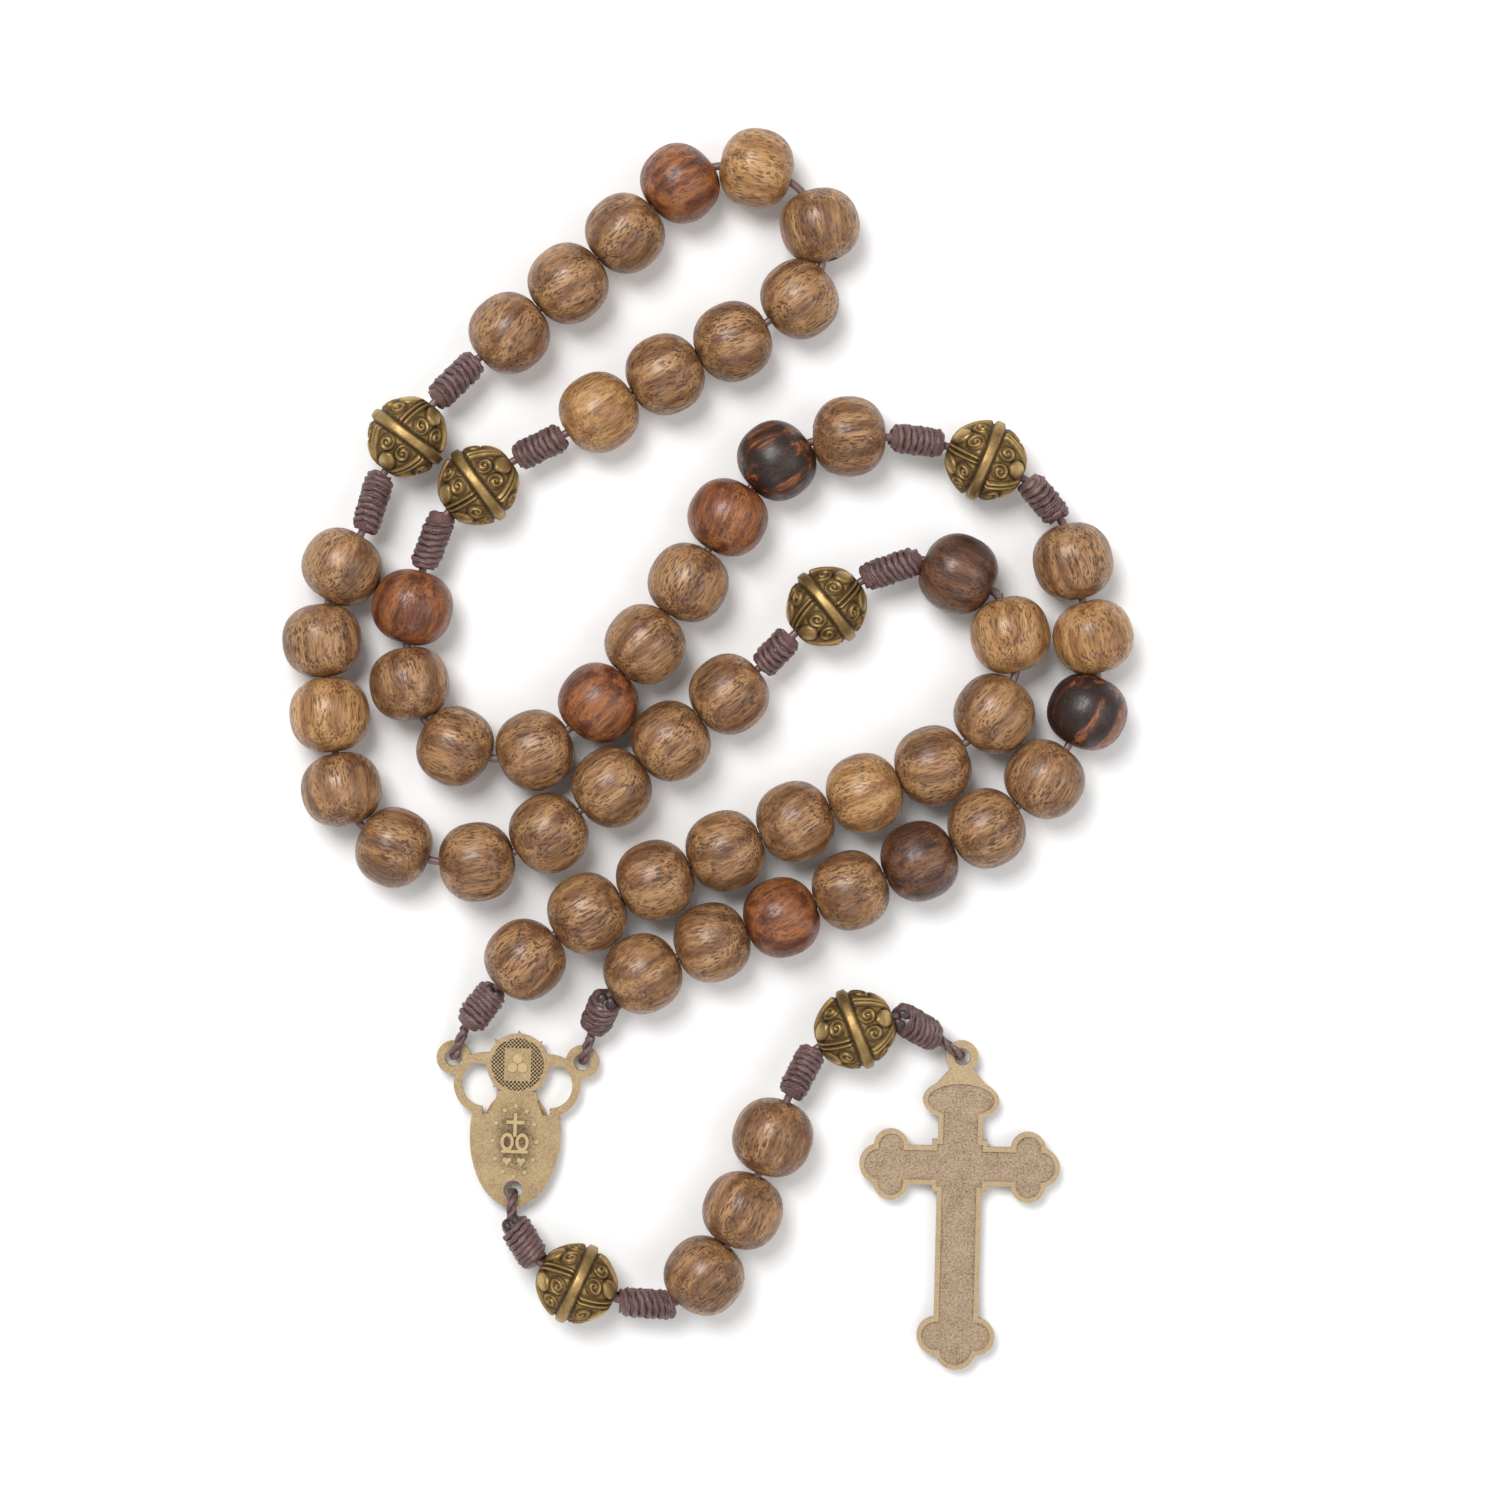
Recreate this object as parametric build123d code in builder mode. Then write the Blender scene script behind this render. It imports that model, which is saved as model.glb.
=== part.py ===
"""A five-decade rosary laid flat: wooden beads, cast beads, knotted cord, centrepiece and crucifix.

Millimetres, +Z up, the floor at z = 0, the middle of the outline at x = y = 0.
"""

from build123d import *
import math
import os

# wooden beads
bead_diameter = 10.2
bead_length = 9.3
bead_pitch = 9.4  # between two beads that share one straight run
bead_bore = 2.2
bore_easing = 0.25

# cast beads
metal_diameter = 10.6
metal_body = 10.0
metal_length = 10.6
belt_width = 1.3
belt_groove = 0.45
collar_diameter = 4.6

# cord and knots
cord_diameter = 1.0
knot_diameter = 3.9
end_knot_diameter = 4.3
wrap_pitch = 0.93
knot_rounding = 1.3
corner_slack = 0.5  # how far the cord cuts a corner between two beads
fold_gap = 0.45  # from a fold line to the end of the cord on either side

# heights of the cord
wood_height = bead_diameter / 2
metal_height = metal_diameter / 2
neck_height = 3.0

# cast plates: a flat front on the floor, the plate lifted so cord passes under it
plate_bottom = 1.2
plate_top = 2.4
eye_hole = 1.1
eye_outer = 2.15
relief = 0.22

# centrepiece, in its own upright frame
centre_origin = (-24.1, -49.1)
centre_turn = -2.2
centre_eyes = ((-8.2, 10.0), (8.2, 10.0))
centre_hole = (0.0, -6.55)
head_centre = (0.0, 9.4)
head_radius = 3.9
body_radii = (5.75, 9.35)
body_centre = (0.0, 0.6)
wing_centre = (4.1, 6.85)
wing_inner = 2.95
wing_outer = 3.95

# crucifix, in its own upright frame, origin where the arms cross
cross_origin = (32.5, -52.6)
cross_turn = -1.4
cross_eye = (0.0, 13.9)
cross_arm = 4.95
cross_shaft = 5.6
rim_width = 0.6
dish_depth = 0.35

# where one run of the cord ends and the next begins, each run through one bead or one pair
neck_left = (-30.4, -34.9)
neck_right = (-14.3, -35.7)
neck_pendant = (-24.6, -59.4)
neck_cross = (29.8, -36.4)
decade_1 = [(-26.3, -29.7), (-19.0, -22.7), (-10.6, -18.0), (7.1, -10.6), (16.0, -6.9), (33.3, 0.1),
            (40.2, 9.7), (37.3, 20.1), (27.1, 25.1)]
decade_2 = [(6.8, 10.4), (-0.5, 4.4), (-15.4, -7.3), (-23.9, -13.1), (-33.6, -14.6), (-44.9, -9.4),
            (-46.9, 0.1), (-48.8, 18.9), (-42.8, 28.1)]
decade_3 = [(-28.5, 50.0), (-20.8, 56.2), (-6.4, 68.9), (0.3, 75.2), (13.0, 72.7), (16.3, 60.7),
            (7.9, 54.1), (-9.2, 45.8), (-17.4, 40.3)]
decade_4 = [(-35.7, 23.0), (-38.1, 13.8), (-36.5, 3.6), (-26.5, -2.0), (-16.3, 2.6), (-4.5, 17.4),
            (5.5, 33.9), (12.9, 40.0), (23.8, 40.0)]
decade_5 = [(45.6, 28.9), (47.8, 19.5), (50.7, 9.7), (46.3, 0.6), (39.9, -7.3), (31.6, -11.9),
            (14.2, -19.3), (-3.4, -25.6), (-12.1, -30.4)]
metal_1 = [(20.1, 22.2), (10.9, 14.7)]
metal_2 = [(-41.2, 35.0), (-33.9, 44.9)]
metal_3 = [(-23.7, 37.4), (-33.4, 30.3)]
metal_4 = [(30.2, 39.2), (41.1, 34.7)]
metal_5 = [(-21.2, -64.8), (-11.0, -69.6)]
metal_6 = [(13.8, -37.1), (24.4, -32.9)]
pendant_beads = [(-3.0, -70.1), (3.0, -62.3), (6.8, -53.6), (10.6, -43.8)]


def at(points, height):
    """Plan points lifted to one height."""
    return [Vector(x, y, height) for x, y in points]


def wood(points):
    """Plan points at the height of a wooden bead's bore."""
    return at(points, wood_height)


def metal(points):
    """Plan points at the height of a cast bead's bore."""
    return at(points, metal_height)


def neck(point):
    """A plan point at the height where a knot meets its loop."""
    return Vector(point[0], point[1], neck_height)


def run_plane(start, end):
    """A plane holding the run from start to end: x along the run, origin in its middle."""
    along = (end - start).normalized()
    up = Vector(0, 0, 1)
    normal = up - along * up.dot(along)
    return Plane(origin=(start + end) * 0.5, x_dir=along, z_dir=normal)


def trimmed(points, first, last):
    """The points with both ends drawn back along their own runs."""
    begin = points[0] + (points[1] - points[0]).normalized() * first
    finish = points[-1] + (points[-2] - points[-1]).normalized() * last
    return [begin, *points[1:-1], finish]


def corner_radii(points):
    """One arc radius per corner, as large as its runs and the bores beside it allow."""
    radii = []
    for before, corner, after in zip(points, points[1:], points[2:]):
        turn = math.radians((corner - before).get_angle(after - corner))
        shorter = min((corner - before).length, (after - corner).length)
        tangent = min(0.45 * shorter, corner_slack / math.tan(turn / 4))
        radii.append(tangent / math.tan(turn / 2))
    return radii


def save(part, name):
    """Label one finished sub-part and write it out."""
    part.label = name
    export_step(part, f"parts/{name}.step")


def make_wooden_beads(name, start, end, count):
    """One or two turned beads on a straight run, bored along the cord."""
    plane = run_plane(start, end)
    with BuildPart() as bead:
        with BuildSketch(plane) as half:
            with GridLocations(bead_pitch, 1, count, 1):
                Ellipse(bead_length / 2, bead_diameter / 2)
            with Locations((0, bead_bore / 2)):
                Rectangle(3 * bead_length, bead_diameter, align=(Align.CENTER, Align.MIN),
                          mode=Mode.INTERSECT)
            fillet(half.vertices().group_by(Axis.Y)[0], bore_easing)
        revolve(axis=Axis(plane.origin, plane.x_dir))
    save(bead.part, name)


def make_metal_bead(name, start, end):
    """A cast bead: a domed body with a belt between two grooves and a collar at each bore mouth."""
    plane = run_plane(start, end)
    with BuildPart() as bead:
        with BuildSketch(plane) as half:
            Ellipse(metal_length / 2 - 0.2, metal_body / 2)
            Rectangle(metal_length, collar_diameter)
            with GridLocations(belt_width + belt_groove, 1, 2, 1):
                Rectangle(belt_groove, metal_diameter + 1, mode=Mode.SUBTRACT)
            Rectangle(belt_width + 2.2 * belt_groove, metal_body - 0.5)
            Rectangle(belt_width, metal_diameter)
            with Locations((0, bead_bore / 2)):
                Rectangle(2 * metal_length, metal_diameter, align=(Align.CENTER, Align.MIN),
                          mode=Mode.INTERSECT)
            corners = half.vertices().group_by(Axis.X)
            fillet(corners[0] + corners[-1], bore_easing)
        revolve(axis=Axis(plane.origin, plane.x_dir))
    save(bead.part, name)


def make_cord(name, routes, knots):
    """One body's stretches of cord along their runs, with the barrel knots tied on them."""
    with BuildPart() as cord:
        for points in routes:
            radii = corner_radii(points)
            with BuildLine() as path:
                FilletPolyline(*points, radius=radii)
            with BuildSketch(Plane(origin=path.line @ 0, z_dir=path.line % 0)):
                Circle(cord_diameter / 2)
            before = cord.part.volume if cord.part else 0
            sweep()
            share = (cord.part.volume - before) / (math.pi * cord_diameter**2 / 4 * path.wire().length)
            print(f"{name}: {path.wire().length:.1f} mm, volume against section x length {share:.4f},"
                  f" radii {min(radii):.2f} to {max(radii):.2f}")
        for start, end, first, last, diameter in knots:
            whole = trimmed([start, end], first, last)
            plane = run_plane(*whole)
            length = (whole[1] - whole[0]).length
            wraps = round(length / wrap_pitch)
            with BuildSketch(plane) as half:
                RectangleRounded(length, diameter - 0.3, knot_rounding)
                with GridLocations((length - 2 * knot_rounding) / (wraps - 1), 1, wraps, 1):
                    RectangleRounded(0.85 * wrap_pitch, diameter, 0.36)
                Rectangle(length, 2 * diameter, align=(Align.CENTER, Align.MIN), mode=Mode.INTERSECT)
            revolve(axis=Axis(plane.origin, plane.x_dir))
    save(cord.part, name)


def loop_points(start, eye, hole, first):
    """The side view of a loop from a knot's neck over a band, down its hole and back."""
    target = Vector(eye[0], eye[1], neck_height)
    toward = (target - start).normalized()
    reach = (target - start).length - hole + cord_diameter / 2 + 0.3
    heights = [(first, 3.53), (reach, 3.15), (reach, 0.55), (reach - 2.5, 0.55), (first, 2.4)]
    return [start + toward * run + Vector(0, 0, height - neck_height) for run, height in heights]


def world(point, origin, turn):
    """A point of a cast piece's own frame in the rosary's frame."""
    moved = Vector(point[0], point[1]).rotate(Axis.Z, turn) + Vector(origin[0], origin[1])
    return (moved.X, moved.Y)


def make_centrepiece():
    """The flat cast centrepiece with its wings, eyes, rayed disc and raised devices."""
    base = Plane(origin=(*centre_origin, plate_bottom)).rotated((0, 0, centre_turn))
    face = base.offset(plate_top - plate_bottom)
    with BuildPart() as plate:
        with BuildSketch(base):
            with Locations(body_centre):
                Ellipse(*body_radii)
            with Locations((0, 3.3)):
                Rectangle(20, 20, align=(Align.CENTER, Align.MIN), mode=Mode.SUBTRACT)
            for side in (-1, 1):
                with Locations((side * wing_centre[0], wing_centre[1])):
                    Circle(wing_outer)
            for side in (-1, 1):
                with Locations((side * wing_centre[0], wing_centre[1])):
                    Circle(wing_inner, mode=Mode.SUBTRACT)
                with BuildLine():
                    Polyline((side * 4.2, 5.0), (side * 4.3, 2.95), (side * 3.4, 3.05), (side * 2.4, 4.0),
                             (side * 2.0, 5.6), close=True)
                make_face(mode=Mode.SUBTRACT)
            with BuildLine():
                Polyline((-2.45, 6.0), (2.45, 6.0), (2.7, 4.6), (3.4, 3.05), (3.6, 2.6), (-3.6, 2.6),
                         (-3.4, 3.05), (-2.7, 4.6), close=True)
            make_face()
            with Locations(head_centre):
                Circle(head_radius)
                with PolarLocations(head_radius - 0.2, 7, start_angle=-45, angular_range=360 * 7 / 8):
                    RegularPolygon(0.62, 3)
            for side, eye in zip((-1, 1), centre_eyes):
                with Locations((side * 5.4, 9.9)):
                    Rectangle(4.6, 1.05)
                with Locations(eye):
                    Circle(eye_outer)
            with Locations(*centre_eyes):
                Circle(eye_hole, mode=Mode.SUBTRACT)
            with Locations(centre_hole):
                Circle(eye_hole + 0.1, mode=Mode.SUBTRACT)
        extrude(amount=plate_top - plate_bottom)
        with BuildSketch(face):
            with Locations(head_centre):
                Circle(head_radius - 0.55)
        extrude(amount=-relief, mode=Mode.SUBTRACT)
        with BuildSketch(face.offset(-relief)):
            with Locations(head_centre):
                Rectangle(3.4, 4.2)
        extrude(amount=relief)
        with BuildSketch(face):
            with Locations(head_centre):
                with PolarLocations(0.75, 3, start_angle=90):
                    Circle(0.62)
            for step in range(12):
                angle = math.pi * step / 6
                with Locations((2.8 * math.cos(angle), 4.5 * math.sin(angle) - 0.35)):
                    Circle(0.27)
            for side in (-1, 1):
                with Locations((side * 0.95, -0.45)):
                    Ellipse(0.85, 1.15)
                    Ellipse(0.45, 0.7, mode=Mode.SUBTRACT)
                with Locations((side * 0.9, -2.95)):
                    RegularPolygon(0.62, 3, rotation=-90)
                with Locations((side * 0.9 - 0.27, -2.75), (side * 0.9 + 0.27, -2.75)):
                    Circle(0.29)
            with Locations((0, 1.75)):
                Rectangle(0.45, 3.0)
            with Locations((0, 2.05)):
                Rectangle(2.3, 0.45)
            with Locations((0, -1.65)):
                Rectangle(3.4, 0.4)
        extrude(amount=relief)
        with BuildSketch(base):
            with Locations(body_centre):
                Ellipse(4.3, 5.5)
        extrude(amount=-plate_bottom)
        fillet(plate.edges().group_by(Axis.Z)[0], 0.4)
    save(plate.part, "centrepiece")


def cross_outline(inset):
    """The cross's shapes in the sketch at hand, each drawn smaller by the inset all round."""
    with Locations((0, -6.6)):
        Rectangle(cross_shaft - 2 * inset, 31 - 2 * inset)
    Rectangle(19 - 2 * inset, cross_arm - 2 * inset)
    Rectangle(7.0 - 2 * inset, 6.6 - 2 * inset)
    with Locations((0, 8.35)):
        Ellipse(4.85 - inset, 2.65 - inset)
    with Locations((-8.75, 2.3), (-8.75, -2.3), (8.75, 2.3), (8.75, -2.3)):
        Circle(2.2 - inset)
    with Locations((-10.2, 0), (10.2, 0)):
        Circle(2.55 - inset)
    with Locations((-2.55, -21.7), (2.55, -21.7)):
        Circle(2.4 - inset)
    with Locations((0, -23.3)):
        Circle(2.65 - inset)


def make_crucifix():
    """The flat cast cross with lobed ends, dished behind a raised rim, and its ring."""
    base = Plane(origin=(*cross_origin, plate_bottom)).rotated((0, 0, cross_turn))
    face = base.offset(plate_top - plate_bottom)
    with BuildPart() as cross:
        with BuildSketch(base):
            cross_outline(0)
            with BuildLine():
                Polyline((-3.6, 9.8), (3.6, 9.8), (2.7, 10.9), (1.45, 12.3), (-1.45, 12.3), (-2.7, 10.9),
                         close=True)
            make_face()
        extrude(amount=plate_top - plate_bottom)
        with BuildSketch(face):
            cross_outline(rim_width)
        extrude(amount=-dish_depth, mode=Mode.SUBTRACT)
        with BuildSketch(base):
            with Locations(cross_eye):
                Circle(eye_outer - 0.1)
        extrude(amount=plate_top - plate_bottom)
        with BuildSketch(base):
            with Locations(cross_eye):
                Circle(eye_hole)
        extrude(amount=plate_top - plate_bottom, mode=Mode.SUBTRACT)
        with BuildSketch(base):
            with Locations((0, -6.6)):
                Rectangle(3.4, 34)
            Rectangle(20, 3.4)
            with Locations((0, 8.3)):
                Ellipse(3.6, 1.7)
            with Locations((-9.6, 0), (9.6, 0), (0, -22.3)):
                Circle(2.6)
        extrude(amount=-plate_bottom)
    save(cross.part, "crucifix")


def make_decade(number, points):
    """The ten wooden beads of one decade, each free to turn on its run of the cord."""
    first = 1
    for start, end in zip(wood(points), wood(points[1:])):
        count = round((end - start).length / 10.4)
        label = "_".join(f"{first + step:02d}" for step in range(count))
        make_wooden_beads(f"wooden_bead_{number}_{label}", start, end, count)
        first += count


def make_loop_cords():
    """The cord of each decade between the fold lines, with its knots."""
    d1, d2, d3, d4, d5 = (wood(points) for points in (decade_1, decade_2, decade_3, decade_4, decade_5))
    m1, m2, m3, m4 = (metal(points) for points in (metal_1, metal_2, metal_3, metal_4))
    left = neck(neck_left)
    right = neck(neck_right)
    make_cord("decade_1_cord", [trimmed([left, *d1[:-1]], 0.8, fold_gap)],
              [(left, d1[0], 0.6, 0.3, end_knot_diameter)])
    make_cord("decade_2_cord", [trimmed([*d1[-2:], *m1, *d2, *m2, *d3[:2]], fold_gap, fold_gap)],
              [(d1[-1], m1[0], 0.3, 0.3, knot_diameter), (m1[1], d2[0], 0.2, 0.2, knot_diameter),
               (d2[-1], m2[0], 0.4, 0.5, knot_diameter), (m2[1], d3[0], 0.3, 0.2, knot_diameter)])
    make_cord("decade_3_cord", [trimmed(d3[1:-1], fold_gap, fold_gap)], [])
    make_cord("decade_4_cord", [trimmed([*d3[-2:], *m3, *d4, *m4, d5[0]], fold_gap, fold_gap)],
              [(d3[-1], m3[0], 0.2, 0.3, knot_diameter), (m3[1], d4[0], 0.3, 0.2, knot_diameter),
               (d4[-1], m4[0], 0.3, 0.3, knot_diameter), (m4[1], d5[0], 0.3, 0.9, knot_diameter)])
    make_cord("decade_5_cord", [trimmed([*d5, right], fold_gap, 0.8)],
              [(d5[-1], right, 0.7, 0.6, end_knot_diameter)])


def make_loops_and_pendant_cords():
    """The loops through the centrepiece's eyes, and the pendant's cord with its knots and end loops."""
    m5, m6, beads = metal(metal_5), metal(metal_6), wood(pendant_beads)
    upper = neck(neck_pendant)
    lower = neck(neck_cross)
    eyes = [world(eye, centre_origin, centre_turn) for eye in centre_eyes]
    foot = world(centre_hole, centre_origin, centre_turn)
    ring = world(cross_eye, cross_origin, cross_turn)
    make_cord("centrepiece_loops", [loop_points(neck(neck_left), eyes[0], eye_hole, 0.3),
                                    loop_points(neck(neck_right), eyes[1], eye_hole, 0.3)], [])
    make_cord("pendant_upper_cord", [trimmed([upper, *m5, *beads[:2]], 0.8, fold_gap),
                                     loop_points(upper, foot, eye_hole + 0.1, -0.7)],
              [(upper, m5[0], 0.1, 0.8, end_knot_diameter), (m5[1], beads[0], 0.3, 0.9, knot_diameter)])
    make_cord("pendant_middle_cord", [trimmed(beads[1:], fold_gap, fold_gap)], [])
    make_cord("pendant_lower_cord", [trimmed([beads[3], *m6, lower], fold_gap, 0.8),
                                     loop_points(lower, ring, eye_hole, -0.7)],
              [(beads[3], m6[0], 0.6, 0.8, knot_diameter), (m6[1], lower, 1.5, 0.1, end_knot_diameter)])


def main():
    """Build and write every sub-part."""
    os.makedirs("parts", exist_ok=True)
    for number, points in enumerate((decade_1, decade_2, decade_3, decade_4, decade_5), 1):
        make_decade(number, points)
    for number, points in enumerate((metal_1, metal_2, metal_3, metal_4, metal_5, metal_6), 1):
        make_metal_bead(f"metal_bead_{number}", *metal(points))
    for number, (start, end) in enumerate(zip(wood(pendant_beads), wood(pendant_beads[1:])), 1):
        make_wooden_beads(f"wooden_bead_pendant_{number}", start, end, 1)
    make_loop_cords()
    make_loops_and_pendant_cords()
    make_centrepiece()
    make_crucifix()


if __name__ == "__main__":
    main()
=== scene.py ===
"""The rosary dressed for its picture: turned wood, cast brass, waxed cord, antique plates."""

import logging
import math
import random
from dataclasses import dataclass, field
from enum import Enum
from typing import Iterator, Sequence

import bmesh
import bpy
import numpy as np
from mathutils import Matrix, Vector


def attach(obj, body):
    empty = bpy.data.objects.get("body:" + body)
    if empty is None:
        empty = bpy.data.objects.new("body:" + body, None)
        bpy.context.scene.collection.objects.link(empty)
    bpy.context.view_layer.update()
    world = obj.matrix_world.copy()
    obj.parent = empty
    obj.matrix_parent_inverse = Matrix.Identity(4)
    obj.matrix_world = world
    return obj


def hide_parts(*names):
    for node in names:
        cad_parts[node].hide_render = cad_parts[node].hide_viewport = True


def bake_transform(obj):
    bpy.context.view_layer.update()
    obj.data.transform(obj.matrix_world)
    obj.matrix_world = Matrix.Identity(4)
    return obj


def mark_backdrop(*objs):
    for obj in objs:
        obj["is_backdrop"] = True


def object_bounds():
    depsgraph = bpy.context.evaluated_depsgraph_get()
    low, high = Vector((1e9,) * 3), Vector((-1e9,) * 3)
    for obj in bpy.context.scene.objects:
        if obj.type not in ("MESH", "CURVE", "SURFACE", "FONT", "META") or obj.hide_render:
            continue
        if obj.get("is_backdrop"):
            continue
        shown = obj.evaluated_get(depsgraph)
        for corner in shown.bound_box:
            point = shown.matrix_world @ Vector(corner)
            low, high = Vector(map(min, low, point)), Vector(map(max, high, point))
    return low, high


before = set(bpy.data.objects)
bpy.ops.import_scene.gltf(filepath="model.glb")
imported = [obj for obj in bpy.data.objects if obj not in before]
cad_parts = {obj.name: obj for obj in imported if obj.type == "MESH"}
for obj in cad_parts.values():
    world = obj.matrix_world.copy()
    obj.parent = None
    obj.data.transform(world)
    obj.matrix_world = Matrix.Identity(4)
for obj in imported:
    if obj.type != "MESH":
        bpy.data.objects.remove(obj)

CAD_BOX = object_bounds()
MM = 0.001
LOG = logging.getLogger("rosary")

Point = tuple[float, float]
Colour = tuple[float, float, float]

# Heights and lengths below are in millimetres, and angles in radians.
WOOD_HEIGHT = 5.1
METAL_HEIGHT = 5.3
NECK_HEIGHT = 3.0
PLATE_TOP = 2.4
BEAD_PITCH = 10.4
FREE_ROOM = 8.0
SEED = 33

NECK_LEFT: Point = (-30.4, -34.9)
NECK_RIGHT: Point = (-14.3, -35.7)
NECK_PENDANT: Point = (-24.6, -59.4)
NECK_CROSS: Point = (29.8, -36.4)
DECADES: dict[int, list[Point]] = {
    1: [(-26.3, -29.7), (-19.0, -22.7), (-10.6, -18.0), (7.1, -10.6), (16.0, -6.9), (33.3, 0.1),
        (40.2, 9.7), (37.3, 20.1), (27.1, 25.1)],
    2: [(6.8, 10.4), (-0.5, 4.4), (-15.4, -7.3), (-23.9, -13.1), (-33.6, -14.6), (-44.9, -9.4),
        (-46.9, 0.1), (-48.8, 18.9), (-42.8, 28.1)],
    3: [(-28.5, 50.0), (-20.8, 56.2), (-6.4, 68.9), (0.3, 75.2), (13.0, 72.7), (16.3, 60.7),
        (7.9, 54.1), (-9.2, 45.8), (-17.4, 40.3)],
    4: [(-35.7, 23.0), (-38.1, 13.8), (-36.5, 3.6), (-26.5, -2.0), (-16.3, 2.6), (-4.5, 17.4),
        (5.5, 33.9), (12.9, 40.0), (23.8, 40.0)],
    5: [(45.6, 28.9), (47.8, 19.5), (50.7, 9.7), (46.3, 0.6), (39.9, -7.3), (31.6, -11.9),
        (14.2, -19.3), (-3.4, -25.6), (-12.1, -30.4)],
}
CAST_RUNS: dict[int, tuple[Point, Point]] = {
    1: ((20.1, 22.2), (10.9, 14.7)),
    2: ((-41.2, 35.0), (-33.9, 44.9)),
    3: ((-23.7, 37.4), (-33.4, 30.3)),
    4: ((30.2, 39.2), (41.1, 34.7)),
    5: ((-21.2, -64.8), (-11.0, -69.6)),
    6: ((13.8, -37.1), (24.4, -32.9)),
}
PENDANT_BEADS: list[Point] = [(-3.0, -70.1), (3.0, -62.3), (6.8, -53.6), (10.6, -43.8)]
CENTRE_ORIGIN: Point = (-24.1, -49.1)
CENTRE_TURN = math.radians(-2.2)
CENTRE_EYES: list[Point] = [(-8.2, 10.0), (8.2, 10.0)]
CENTRE_HOLE: Point = (0.0, -6.55)
CROSS_ORIGIN: Point = (32.5, -52.6)
CROSS_TURN = math.radians(-1.4)
CROSS_EYE: Point = (0.0, 13.9)


class Tone(Enum):
    """How dark and how red a bead's wood is."""

    TAN = "tan"
    GOLDEN = "golden"
    RED = "red"
    BROWN = "brown"
    STRIPED = "striped"


BEAD_TONES: dict[tuple[int, int], Tone] = {
    (1, 6): Tone.GOLDEN, (1, 9): Tone.GOLDEN, (1, 10): Tone.BROWN,
    (2, 8): Tone.GOLDEN,
    (3, 4): Tone.RED, (3, 5): Tone.GOLDEN, (3, 10): Tone.GOLDEN,
    (4, 1): Tone.RED, (4, 5): Tone.RED, (4, 8): Tone.RED, (4, 9): Tone.STRIPED,
    (5, 2): Tone.GOLDEN, (5, 3): Tone.STRIPED, (5, 6): Tone.BROWN, (5, 8): Tone.RED,
}


def wood(points: Sequence[Point]) -> list[Vector]:
    """Plan points at the height of a wooden bead's bore, in metres."""
    return [Vector((x, y, WOOD_HEIGHT)) * MM for x, y in points]


def metal(points: Sequence[Point]) -> list[Vector]:
    """Plan points at the height of a cast bead's bore, in metres."""
    return [Vector((x, y, METAL_HEIGHT)) * MM for x, y in points]


def neck(point: Point) -> Vector:
    """A plan point at the height where a knot meets its loop, in metres."""
    return Vector((point[0], point[1], NECK_HEIGHT)) * MM


def placed(point: Point, origin: Point, turn: float) -> Point:
    """A point of a cast piece's own frame in the rosary's plan, in millimetres."""
    x = origin[0] + point[0] * math.cos(turn) - point[1] * math.sin(turn)
    y = origin[1] + point[0] * math.sin(turn) + point[1] * math.cos(turn)
    return (x, y)


def count_on(start: Vector, end: Vector) -> int:
    """How many wooden beads sit on a run."""
    return round((end - start).length / MM / BEAD_PITCH)


def rooms(route: Sequence[Vector]) -> list[tuple[float, float]]:
    """The room beads have at each point of a route, and half the angle by which the cord turns there."""
    runs = [b - a for a, b in zip(route, route[1:])]
    halves = [run.length / MM / count_on(a, b) / 2 for run, a, b in zip(runs, route, route[1:])]
    turns = [a.angle(b) / 2 for a, b in zip(runs, runs[1:])]
    inner = [((first + last) / 2, turn) for first, last, turn in zip(halves, halves[1:], turns)]
    return [(FREE_ROOM, 0.0), *inner, (FREE_ROOM, 0.0)]


def along(start: Vector, end: Vector) -> Matrix:
    """The frame of a run: its middle as origin, x along the cord, z as near up as it can be."""
    x = (end - start).normalized()
    z = (Vector((0, 0, 1)) - x * x.z).normalized()
    y = z.cross(x)
    turn = Matrix((x, y, z)).transposed().to_4x4()
    return Matrix.Translation((start + end) / 2) @ turn


class Socket:
    """A shader output with arithmetic: each expression adds its Math nodes."""

    def __init__(self, tree: "Tree", output: bpy.types.NodeSocket) -> None:
        """Wrap one output of one tree."""
        self.tree = tree
        self.output = output

    def _math(self, operation: str, *values: object) -> "Socket":
        """One Math node on the given values."""
        return self.tree.node("ShaderNodeMath", {"operation": operation}, dict(enumerate(values)))

    def __add__(self, other: object) -> "Socket":
        """Sum."""
        return self._math("ADD", self, other)

    __radd__ = __add__

    def __mul__(self, other: object) -> "Socket":
        """Product."""
        return self._math("MULTIPLY", self, other)

    __rmul__ = __mul__

    def __sub__(self, other: object) -> "Socket":
        """Difference."""
        return self._math("SUBTRACT", self, other)

    def __rsub__(self, other: object) -> "Socket":
        """Reflected difference."""
        return self._math("SUBTRACT", other, self)

    def sine(self) -> "Socket":
        """Sine."""
        return self._math("SINE", self)


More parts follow.
